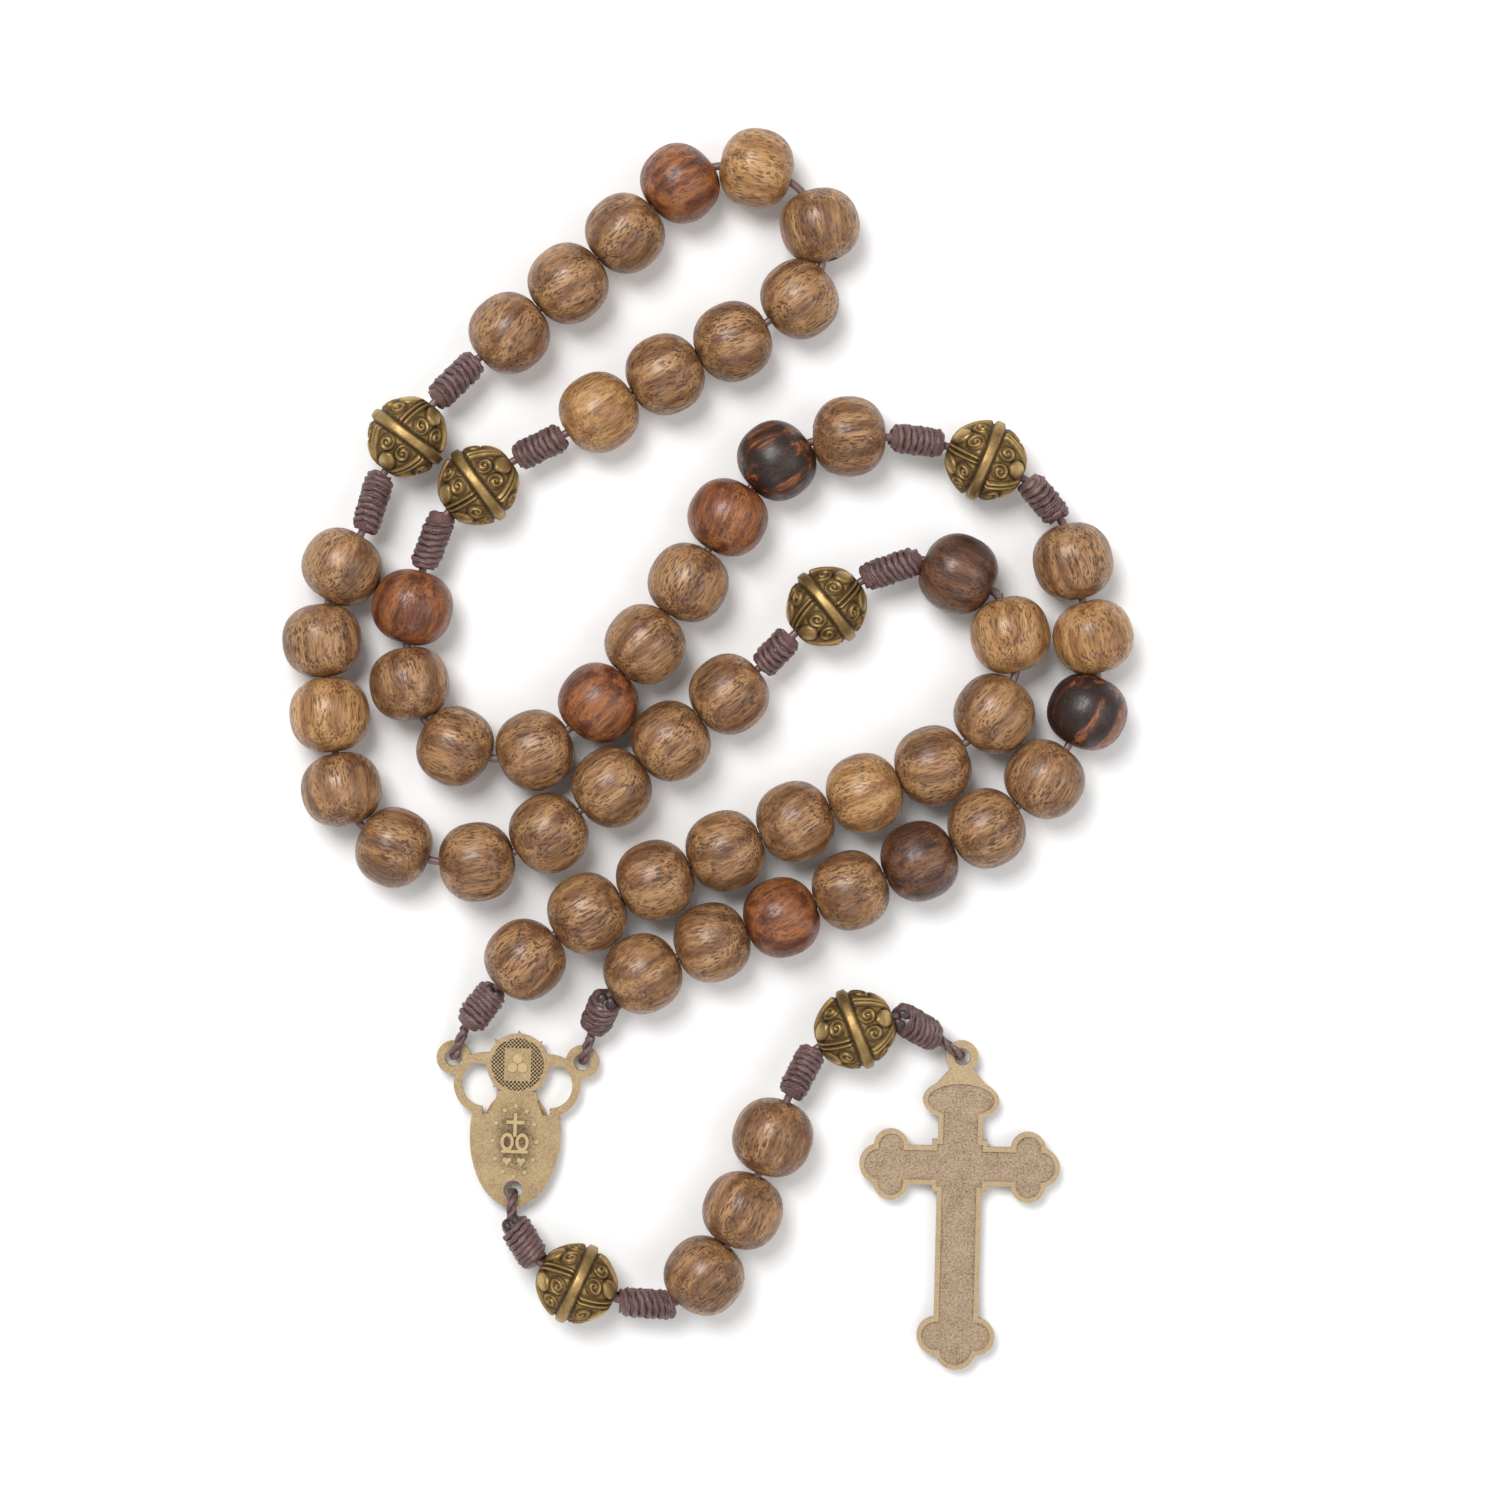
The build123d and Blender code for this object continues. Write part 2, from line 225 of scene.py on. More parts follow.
class Tree:
    """A material's node tree, one node per call."""

    def __init__(self, name: str) -> None:
        """A new material with its Principled shader.

        Args:
            name: The material's name.
        """
        self.material = bpy.data.materials.new(name)
        self.material.use_nodes = True
        self.links = self.material.node_tree.links
        self.nodes = self.material.node_tree.nodes
        self.shader = next(n for n in self.nodes if n.type == "BSDF_PRINCIPLED")

    def node(self, kind: str, settings: dict, inputs: dict, output: object = 0) -> Socket:
        """Add a node: settings first, then the values and links of its sockets.

        Args:
            kind: The node's type name.
            settings: Attributes, and "stops" for a ramp's (position, colour) list.
            inputs: Socket name or number to a value or a Socket.
            output: The output's name or number.

        Returns:
            The chosen output, wrapped.
        """
        made = self.nodes.new(kind)
        for key, value in settings.items():
            if key == "stops":
                ramp = made.color_ramp.elements
                while len(ramp) < len(value):
                    ramp.new(0.5)
                for stop, (position, colour) in zip(ramp, value):
                    stop.position = position
                    stop.color = (*colour, 1.0)
            else:
                setattr(made, key, value)
        for key, value in inputs.items():
            self.feed(made.inputs[key], value)
        return Socket(self, made.outputs[output])

    def feed(self, socket: bpy.types.NodeSocket, value: object) -> None:
        """Link a Socket, or set a plain value."""
        if isinstance(value, Socket):
            self.links.new(value.output, socket)
        else:
            socket.default_value = value

    def attribute(self, name: str, output: str = "Vector") -> Socket:
        """A named attribute of the piece."""
        return self.node("ShaderNodeAttribute", {"attribute_name": name}, {}, output)

    def axis(self, vector: Socket, name: str) -> Socket:
        """One component of a vector."""
        return self.node("ShaderNodeSeparateXYZ", {}, {"Vector": vector}, name)

    def ramp(self, factor: Socket, *stops: tuple[float, Colour]) -> Socket:
        """A colour ramp through the given stops."""
        return self.node("ShaderNodeValToRGB", {"stops": stops}, {"Fac": factor})

    def scaled(self, vector: Socket, scale: Colour) -> Socket:
        """A vector stretched by one factor along each axis."""
        return self.node("ShaderNodeMapping", {"vector_type": "POINT"}, {"Vector": vector, "Scale": scale})

    def noise(self, vector: Socket, scale: float, detail: float = 2.0, rough: float = 0.5) -> Socket:
        """Fractal noise from 0 to 1."""
        sizes = {"Vector": vector, "Scale": scale, "Detail": detail, "Roughness": rough}
        return self.node("ShaderNodeTexNoise", {}, sizes, 0)

    def span(self, value: Socket, low: float, high: float, to_low: float = 0.0, to_high: float = 1.0) -> Socket:
        """Map low..high to a clamped new range, eased at both ends."""
        ends = {"Value": value, "From Min": low, "From Max": high, "To Min": to_low, "To Max": to_high}
        return self.node("ShaderNodeMapRange", {"interpolation_type": "SMOOTHSTEP"}, ends)

    def blend(self, factor: object, first: object, second: object) -> Socket:
        """Mix two colours."""
        mixed = self.nodes.new("ShaderNodeMix")
        mixed.data_type = "RGBA"
        for index, value in ((0, factor), (6, first), (7, second)):
            if isinstance(value, tuple):
                value = (*value, 1.0)
            self.feed(mixed.inputs[index], value)
        return Socket(self, mixed.outputs[2])

    def bump(self, height: Socket, distance: float, strength: float = 1.0) -> Socket:
        """A bumped normal, its depth in metres."""
        return self.node("ShaderNodeBump", {}, {"Height": height, "Distance": distance, "Strength": strength})

    def finish(self, **inputs: object) -> bpy.types.Material:
        """Feed the shader: Base_Color stands for Base Color."""
        for key, value in inputs.items():
            if isinstance(value, tuple) and len(value) == 3:
                value = (*value, 1.0)
            self.feed(self.shader.inputs[key.replace("_", " ")], value)
        return self.material


@dataclass(frozen=True)
class WoodFinish:
    """Turned and waxed hardwood: bands, fibres and short dark flecks along the bore."""

    light: Colour
    middle: Colour
    dark: Colour
    banding: float = 0.5
    flecks: float = 0.75

    def material(self, name: str) -> bpy.types.Material:
        """Make the finish.

        Args:
            name: The material's name.

        Returns:
            The material, reading the piece's grain attribute in millimetres.
        """
        tree = Tree(name)
        grain = tree.attribute("grain")
        bands = tree.noise(tree.scaled(grain, (0.04, 0.50, 0.62)), 1.0, 2.0, 0.5)
        streak = tree.noise(tree.scaled(grain, (0.16, 2.1, 2.1)), 1.0, 3.0, 0.55)
        fibre = tree.noise(tree.scaled(grain, (0.55, 5.5, 5.5)), 1.0, 3.0, 0.6)
        tone = tree.span(bands, 0.38, 0.66) * self.banding + streak * 0.55 + fibre * 0.45
        base = tree.ramp(tone, (0.42, self.light), (0.62, self.middle), (0.90, self.dark))
        dashes = tree.noise(tree.scaled(grain, (0.85, 3.9, 3.9)), 1.0, 2.0, 0.5)
        patches = tree.span(tree.noise(grain, 0.30, 1.0), 0.34, 0.60, 0.45, 1.0)
        fleck = tree.span(dashes, 0.525, 0.60) * patches
        fleck_colour = tuple(c * 0.42 for c in self.dark)
        colour = tree.blend(fleck * self.flecks, base, fleck_colour)
        depth = fibre * 0.5 - fleck * 0.8
        return tree.finish(
            Base_Color=colour,
            Roughness=tree.span(fibre + fleck * 0.4, 0.2, 1.0, 0.30, 0.52),
            Specular_IOR_Level=0.45,
            Coat_Weight=0.15,
            Coat_Roughness=0.24,
            Normal=tree.bump(depth, 0.00008, 0.7),
        )


@dataclass(frozen=True)
class BrassFinish:
    """Cast brass aged dark in its grooves and rubbed bright on its high spots."""

    bright: Colour = (0.58, 0.40, 0.17)
    warm: Colour = (0.225, 0.140, 0.050)
    patina_and_shade: Colour = (0.036, 0.021, 0.009)

    def material(self, name: str) -> bpy.types.Material:
        """Make the finish, reading the piece's relief attribute from 0 to 1."""
        tree = Tree(name)
        relief = tree.attribute("relief", "Fac")
        grain = tree.attribute("grain")
        cloud = tree.noise(grain, 0.9, 4.0, 0.62)
        speck = tree.noise(grain, 4.5, 3.0, 0.6)
        worn = relief + (cloud - 0.5) * 0.5 + (speck - 0.5) * 0.22
        base = tree.ramp(worn, (0.14, self.patina_and_shade), (0.46, self.warm), (0.86, self.bright))
        return tree.finish(
            Base_Color=base,
            Metallic=tree.span(worn, 0.05, 0.5, 0.45, 0.92),
            Roughness=tree.span(worn, 0.1, 0.9, 0.60, 0.38),
            Normal=tree.bump(cloud * 0.5 + speck * 0.5, 0.00009, 0.7),
        )


@dataclass(frozen=True)
class PlateFinish:
    """Antique gold on a matt cast plate: fine dark speckle, paler raised edges, patina with painted shade round the
    middle.
    """

    pale: Colour = (0.50, 0.365, 0.195)
    middle: Colour = (0.335, 0.235, 0.120)
    dark: Colour = (0.085, 0.052, 0.028)
    rim: Colour = (0.58, 0.43, 0.215)
    # Centre and half-widths of the oval of patina with painted shade, in millimetres.
    shaded: tuple[float, float, float, float] = (-24.1, -49.1, 3.4, 5.6)
    mottling: float = 0.45
    patina_and_shade: float = 0.34
    polish: float = 0.0
    grain: float = 1.0

    def material(self, name: str) -> bpy.types.Material:
        """Make the finish on Object coordinates."""
        tree = Tree(name)
        place = tree.node("ShaderNodeTexCoord", {}, {}, "Object")
        speckle = tree.noise(place, 4000.0, 3.0, 0.7)
        blotch = tree.noise(place, 420.0, 4.0, 0.6)
        height = tree.axis(place, "Z")
        edge = tree.span(height, PLATE_TOP * MM - 0.00016, PLATE_TOP * MM - 0.00004)
        device = tree.span(height, PLATE_TOP * MM + 0.00002, PLATE_TOP * MM + 0.00018)
        x, y, wide, tall = self.shaded
        offset = tree.node("ShaderNodeMapping", {"vector_type": "TEXTURE"}, {
            "Vector": place, "Location": (x * MM, y * MM, 0), "Scale": (wide * MM, tall * MM, 1.0)})
        away = tree.node("ShaderNodeVectorMath", {"operation": "LENGTH"}, {"Vector": offset}, "Value")
        # Patina with painted shade: darkens an oval round the plate's middle, fading outwards, but not the raised
        # device.
        patina_and_shade = tree.span(away, 0.30, 1.0, self.patina_and_shade, 0.0) * (1 - device)
        tone = (speckle - 0.5) * self.grain + (blotch - 0.5) * self.mottling + 0.42 + patina_and_shade
        base = tree.ramp(tone, (0.22, self.pale), (0.50, self.middle), (0.86, self.dark))
        colour = tree.blend(device * 0.55 + edge * self.polish, base, self.rim)
        return tree.finish(
            Base_Color=colour,
            Metallic=0.35,
            Roughness=tree.span(tone, 0.2, 0.8, 0.36, 0.58),
            Normal=tree.bump(speckle * 0.6 + blotch * 0.4, 0.00006, 0.8),
        )


@dataclass(frozen=True)
class CordFinish:
    """Waxed twisted nylon, plum brown, its fibres winding round the strand."""

    light: Colour = (0.215, 0.120, 0.115)
    dark: Colour = (0.022, 0.009, 0.009)

    def material(self, name: str) -> bpy.types.Material:
        """Make the finish, reading the strand attribute: length, turn and seed."""
        tree = Tree(name)
        strand = tree.attribute("strand")
        length = tree.axis(strand, "X")
        turn = tree.axis(strand, "Y")
        place = tree.node("ShaderNodeTexCoord", {}, {}, "Object")
        cloud = tree.noise(place, 900.0, 3.0, 0.6)
        fibre = (turn * 9.0 + length * 13.0 + cloud * 5.0).sine() * 0.5 + 0.5
        tone = fibre * 0.45 + cloud * 0.75
        colour = tree.ramp(tone, (0.25, self.dark), (0.85, self.light))
        return tree.finish(
            Base_Color=colour,
            Roughness=tree.span(tone, 0.2, 1.0, 0.50, 0.30),
            Specular_IOR_Level=0.6,
            Normal=tree.bump(fibre * 0.6 + cloud * 0.4, 0.00006, 0.8),
        )


WOODS: dict[Tone, WoodFinish] = {
    Tone.TAN: WoodFinish((0.42, 0.235, 0.105), (0.265, 0.128, 0.052), (0.115, 0.047, 0.019), 0.30, 0.85),
    Tone.GOLDEN: WoodFinish((0.52, 0.30, 0.125), (0.36, 0.18, 0.064), (0.16, 0.064, 0.022), 0.25, 0.75),
    Tone.RED: WoodFinish((0.34, 0.125, 0.040), (0.215, 0.068, 0.022), (0.080, 0.022, 0.009), 0.35, 0.6),
    Tone.BROWN: WoodFinish((0.20, 0.088, 0.040), (0.115, 0.046, 0.022), (0.045, 0.018, 0.011), 0.35, 0.7),
    Tone.STRIPED: WoodFinish((0.34, 0.115, 0.032), (0.085, 0.027, 0.013), (0.024, 0.010, 0.007), 0.75, 0.5),
}


@dataclass
class Palette:
    """Every material of the rosary, made once."""

    woods: dict[Tone, bpy.types.Material]
    brass: bpy.types.Material
    plate: bpy.types.Material
    pit: bpy.types.Material
    cross: bpy.types.Material
    cord: bpy.types.Material
    burnt: bpy.types.Material

    @classmethod
    def mix(cls) -> "Palette":
        """Make all the materials."""
        dim = PlateFinish((0.085, 0.055, 0.03), (0.05, 0.032, 0.018), (0.02, 0.013, 0.008))
        speckled = PlateFinish((0.47, 0.345, 0.225), (0.31, 0.22, 0.142), (0.075, 0.048, 0.031),
                               mottling=0.5, patina_and_shade=0.0, polish=0.42, grain=1.7)
        return cls(
            woods={tone: finish.material(f"wood_{tone.value}") for tone, finish in WOODS.items()},
            brass=BrassFinish().material("antique_brass"),
            plate=PlateFinish().material("centrepiece_gold"),
            pit=dim.material("pit_patina"),
            cross=speckled.material("crucifix_gold"),
            cord=CordFinish().material("waxed_cord"),
            burnt=CordFinish((0.045, 0.030, 0.032), (0.010, 0.007, 0.008)).material("melted_cord"),
        )


def linked(name: str, data: bpy.types.ID) -> bpy.types.Object:
    """A new object in the scene, showing the given data."""
    made = bpy.data.objects.new(name, data)
    bpy.context.scene.collection.objects.link(made)
    return made


def finished(mesh: bmesh.types.BMesh, name: str, body: str | None,
             materials: Sequence[bpy.types.Material], smooth: bool = True) -> bpy.types.Object:
    """Turn a bmesh into a piece that rides on a body.

    Args:
        mesh: The finished bmesh, freed here.
        name: The piece's name.
        body: The body it moves with, or None for a piece on no body.
        materials: Its materials in slot order.
        smooth: Whether faces are smooth shaded.

    Returns:
        The new object.
    """
    bmesh.ops.recalc_face_normals(mesh, faces=mesh.faces)
    data = bpy.data.meshes.new(name)
    mesh.to_mesh(data)
    mesh.free()
    for material in materials:
        data.materials.append(material)
    data.polygons.foreach_set("use_smooth", [smooth] * len(data.polygons))
    piece = linked(name, data)
    if body:
        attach(piece, body)
    LOG.info("%s: %d faces", name, len(data.polygons))
    return piece


def spin_outline(mesh: bmesh.types.BMesh, outline: Sequence[Point], segments: int, merge: float) -> None:
    """Close an outline and spin it about x into a bored bead.

    Args:
        mesh: The empty bmesh.
        outline: Places along the bore with their radii, in millimetres.
        segments: Steps round the bore.
        merge: Vertices nearer than this become one.
    """
    ring = [mesh.verts.new((x, y, 0)) for x, y in outline]
    edges = [mesh.edges.new(pair) for pair in zip(ring, [*ring[1:], ring[0]])]
    bmesh.ops.spin(mesh, geom=ring + edges, cent=(0, 0, 0), axis=(1, 0, 0), dvec=(0, 0, 0),
                   angle=math.tau, steps=segments, use_merge=True, use_duplicate=False)
    bmesh.ops.remove_doubles(mesh, verts=mesh.verts, dist=merge)


@dataclass
class WoodenBead:
    """A turned wooden bead with an eased bore."""

    diameter: float = 10.2
    longest: float = 9.78
    shortest: float = 9.35
    fullness: float = 2.27
    bore: float = 2.2
    rings: int = 22
    segments: int = 72

    def fitted(self, ends: Sequence[tuple[float, float]]) -> float:
        """The longest bead that clears its neighbours where the cord turns.

        Args:
            ends: For each of the bead's ends, the room along the cord and half the cord's turn there.

        Returns:
            The length of the bead's full curve, cut short by the bore.
        """
        dual = self.fullness / (self.fullness - 1)
        found = self.longest
        for room, turn in ends:
            side = self.diameter / 2 * math.sin(turn)
            reach = ((room * math.cos(turn) - 0.02) ** dual - side ** dual) ** (1 / dual) / math.cos(turn)
            found = min(found, 2 * reach + 0.20 * max(0.0, 1 - turn / 0.21))
        return max(found, self.shortest)

    def shape(self, length: float, draw: random.Random) -> bmesh.types.BMesh:
        """Spin one bead about x, in millimetres, with its grain layer.

        Args:
            length: The length of its full curve.
            draw: The source of this bead's small differences.

        Returns:
            The bead at the origin.
        """
        bead = bmesh.new()
        grain = bead.verts.layers.float_vector.new("grain")
        half, radius, bore = length / 2, self.diameter / 2, self.bore / 2
        slope = math.asin(bore / radius)
        outline = []
        for step in range(self.rings + 1):
            angle = slope + 0.05 + (math.pi - 2 * slope - 0.1) * step / self.rings
            along_bore, out = math.cos(angle), math.sin(angle)
            grow = (abs(along_bore) ** self.fullness + out ** self.fullness) ** (-1 / self.fullness)
            outline.append((-half * along_bore * grow, radius * out * grow))
        mouth = -outline[0][0]
        easing = [(-mouth + 0.03, bore + 0.10), (-mouth + 0.12, bore + 0.02), (-mouth + 0.35, bore)]
        wall = [(-x, y) for x, y in easing]
        spin_outline(bead, [*reversed(easing), *outline, *wall], self.segments, 0.001)
        shift = Vector([draw.uniform(-300, 300) for _ in range(3)])
        roll = Matrix.Rotation(draw.uniform(0, math.tau), 3, "X")
        lean = Matrix.Rotation(draw.uniform(-0.32, 0.32), 3, "Z")
        full = draw.uniform(0.986, 1.0)
        for vert in bead.verts:
            vert[grain] = lean @ roll @ vert.co + shift
            vert.co = Vector((vert.co.x, vert.co.y * full, vert.co.z * full))
        return bead

    def build(self, node: str, start: Vector, end: Vector, tones: Sequence[Tone],
              ends: Sequence[tuple[float, float]], palette: Palette, draw: random.Random) -> bpy.types.Object:
        """Build the bead or the pair of beads that stands for one CAD node.

        Args:
            node: The CAD node.
            start: Where its run begins.
            end: Where its run ends.
            tones: One tone per bead, in order along the run.
            ends: The room and half the cord's turn at the run's start and at its end.
            palette: The materials.
            draw: The source of small differences.

        Returns:
            The piece.
        """
        whole = bmesh.new()
        whole.verts.layers.float_vector.new("grain")
        kinds = sorted(set(tones), key=lambda tone: tone.value)
        pitch = (end - start).length / MM / len(tones)
        for index, tone in enumerate(tones):
            inner = (pitch / 2, 0.0)
            sides = (ends[0] if index == 0 else inner, ends[1] if index == len(tones) - 1 else inner)
            single = self.shape(self.fitted(sides), draw)
            place = (index - (len(tones) - 1) / 2) * pitch
            bmesh.ops.translate(single, verts=single.verts, vec=(place, 0, 0))
            for face in single.faces:
                face.material_index = kinds.index(tone)
            data = bpy.data.meshes.new("bead_draft")
            single.to_mesh(data)
            single.free()
            whole.from_mesh(data)
            bpy.data.meshes.remove(data)
        bmesh.ops.transform(whole, matrix=along(start, end) @ Matrix.Scale(MM, 4), verts=whole.verts)
        piece = finished(whole, f"turned_{node}", node, [palette.woods[kind] for kind in kinds])
        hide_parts(node)
        return piece


@dataclass
class CastBead:
    """A cast bead: belt, grooves, panels with two spirals and a petal, and paired ribs."""

    length: float = 10.6
    belt: float = 5.3
    body: float = 4.98
    bore: float = 1.1
    panels: int = 4
    segments: int = 336
    rings: int = 128

    def profile(self, place: np.ndarray) -> np.ndarray:
        """The smooth radius at each place along the bore, in millimetres."""
        share = np.clip(np.abs(place) / (self.length / 2), 0, 1)
        return self.body * np.power(np.clip(1 - share ** 1.82, 0, 1), 0.60)

    def relief(self, place: np.ndarray, angle: np.ndarray) -> np.ndarray:
        """How far the casting stands above its smooth body, in millimetres.

        Args:
            place: Distance along the bore from the belt.
            angle: Angle round the bore.

        Returns:
            The height of the relief.
        """
        side = np.abs(place)
        sector = math.tau / self.panels
        shift = np.where(place > 0, 0.0, sector * 0.35)
        local = (angle + shift + sector / 2) % sector - sector / 2
        arc = local * self.profile(place)
        belt = 0.30 * np.exp(-(np.maximum(side - 0.46, 0) / 0.13) ** 2)
        groove = -0.26 * np.exp(-((side - 0.92) / 0.17) ** 2)
        edge = sector / 2 * self.profile(place)
        gap = edge - np.abs(arc)
        ribs = 0.24 * np.exp(-((gap - 0.30) / 0.17) ** 2) - 0.22 * np.exp(-(gap / 0.14) ** 2)
        ribs -= 0.15 * np.exp(-((gap - 0.66) / 0.13) ** 2)
        height = belt + groove + np.where(side > 1.0, ribs, 0)
        for hand in (-1, 1):
            across = arc - hand * 1.28
            up = side - 2.16
            reach = np.hypot(across, up)
            turn = np.arctan2(up, across * hand)
            wave = np.cos(math.tau * (reach / 0.62 - turn / math.tau))
            inside = 1 / (1 + np.exp((reach - 1.02) / 0.05))
            height += inside * 0.15 * wave
            height -= 0.20 * np.exp(-((reach - 1.14) / 0.12) ** 2) * (side > 1.1)
        petal = np.hypot(arc / 1.15, (side - 4.05) / 0.95)
        height += 0.26 * np.clip(1 - petal ** 2, 0, 1) ** 0.5
        height -= 0.16 * np.exp(-((petal - 1.12) / 0.13) ** 2)
        height *= np.clip((self.length / 2 - side) / 0.6, 0, 1)
        return height

    def build(self, node: str, start: Vector, end: Vector, palette: Palette, draw: random.Random) -> bpy.types.Object:
        """Spin the bead, raise its relief and put it on its run."""
        bead = bmesh.new()
        grain = bead.verts.layers.float_vector.new("grain")
        tone = bead.verts.layers.float.new("relief")
        half = self.length / 2
        places = [-half * math.cos(math.pi * step / self.rings) for step in range(self.rings + 1)]
        places = [p for p in places if self.profile(np.array(p)) > self.bore + 0.15]
        outline = [(p, float(self.profile(np.array(p)))) for p in places]
        mouth = outline[0][0]
        wall = [(mouth - 0.06, self.bore + 0.05), (mouth + 0.10, self.bore)]
        spin_outline(bead, [*reversed(wall), *outline, *[(-x, y) for x, y in wall]], self.segments, 0.0005)
        bmesh.ops.recalc_face_normals(bead, faces=bead.faces)
        bead.normal_update()
        spots = np.array([v.co for v in bead.verts])
        radii = np.hypot(spots[:, 1], spots[:, 2])
        heights = self.relief(spots[:, 0], np.arctan2(spots[:, 2], spots[:, 1]) + draw.uniform(0, math.tau))
        heights *= radii > self.bore + 0.12
        shift = Vector([draw.uniform(-90, 90) for _ in range(3)])
        for vert, height in zip(bead.verts, heights):
            vert[grain] = vert.co + shift
            raised = 0.20 if abs(vert.co.x) < 0.6 else 0.0
            vert[tone] = float(np.clip(0.47 + (height - raised) * 1.25, 0, 1))
            vert.co += vert.normal * float(height)
        bmesh.ops.transform(bead, matrix=along(start, end) @ Matrix.Scale(MM, 4), verts=bead.verts)
        piece = finished(bead, f"cast_{node}", node, [palette.brass])
        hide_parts(node)
        return piece


def smooth_route(points: Sequence[Vector], steps: int = 12) -> list[Vector]:
    """Read the points of a route's own smooth NURBS line.

    Args:
        points: The route, in metres.
        steps: Line points per control point.

    Returns:
        Points along the line.
    """
    curve = nurbs("route_draft", points)
    curve.resolution_u = steps
    holder = linked("route_draft", curve)
    bpy.context.view_layer.update()
    line = bpy.data.meshes.new_from_object(holder.evaluated_get(bpy.context.evaluated_depsgraph_get()))
    found = [v.co.copy() for v in line.vertices]
    bpy.data.objects.remove(holder)
    bpy.data.meshes.remove(line)
    return found


def nurbs(name: str, points: Sequence[Vector]) -> bpy.types.Curve:
    """A smooth open curve with the given control points."""
    curve = bpy.data.curves.new(name, "CURVE")
    curve.dimensions = "3D"
    spline = curve.splines.new("NURBS")
    spline.points.add(len(points) - 1)
    for spot, point in zip(spline.points, points):
        spot.co = (*point, 1.0)
    spline.order_u = 3
    spline.use_endpoint_u = True
    return curve


def walk(line: Sequence[Vector]) -> Iterator[tuple[Vector, Vector, Vector, float]]:
    """Follow a line without twisting.

    Args:
        line: The line's points.

    Yields:
        Each point, the two directions across the line there, and the length so far.
    """
    side = (line[1] - line[0]).orthogonal().normalized()
    travelled = 0.0
    for index, centre in enumerate(line):
        ahead = line[min(index + 1, len(line) - 1)] - line[max(index - 1, 0)]
        ahead.normalize()
        side = (side - ahead * side.dot(ahead)).normalized()
        if index:
            travelled += (centre - line[index - 1]).length
        yield centre, side, ahead.cross(side), travelled


@dataclass
class Strand:
    """A round strand of three twisted plies swept along a line."""

    radius: float = 0.5
    sides: int = 12
    plies: int = 3
    lay: float = 2.6
    swell: float = 0.07

    def sweep(self, mesh: bmesh.types.BMesh, line: Sequence[Vector], seed: float = 0.0) -> None:
        """Add the strand to a bmesh with closed ends, all in millimetres.

        Args:
            mesh: The bmesh, with a float vector layer named strand.
            line: Evenly spaced points.
            seed: An offset of the twist.
        """
        layer = mesh.verts.layers.float_vector["strand"]
        edges, ring = [], []
        for centre, side, other, travelled in walk(line):
            if ring:
                grown = bmesh.ops.extrude_edge_only(mesh, edges=edges)["geom"]
                edges = [g for g in grown if isinstance(g, bmesh.types.BMEdge)
                         and not any(v in ring for v in g.verts)]
                fresh = [v for v in grown if isinstance(v, bmesh.types.BMVert)]
                ring = self.ordered(ring, fresh)
            else:
                made = bmesh.ops.create_circle(mesh, segments=self.sides, radius=self.radius, cap_ends=True)
                ring = made["verts"]
                edges = list({e for v in ring for e in v.link_edges})
            for number, vert in enumerate(ring):
                angle = math.tau * number / self.sides
                twist = self.plies * (angle - math.tau * travelled / (self.lay * self.plies) + seed)
                reach = self.radius * (1 - self.swell + self.swell * math.cos(twist))
                vert.co = centre + (side * math.cos(angle) + other * math.sin(angle)) * reach
                vert[layer] = (travelled, angle, seed)
        bmesh.ops.contextual_create(mesh, geom=ring)

    def ordered(self, old: Sequence[bmesh.types.BMVert], fresh: Sequence[bmesh.types.BMVert]) -> list:
        """The new ring's vertices in the order of the old ring's."""
        new = set(fresh)
        return [next(e.other_vert(v) for e in v.link_edges if e.other_vert(v) in new) for v in old]


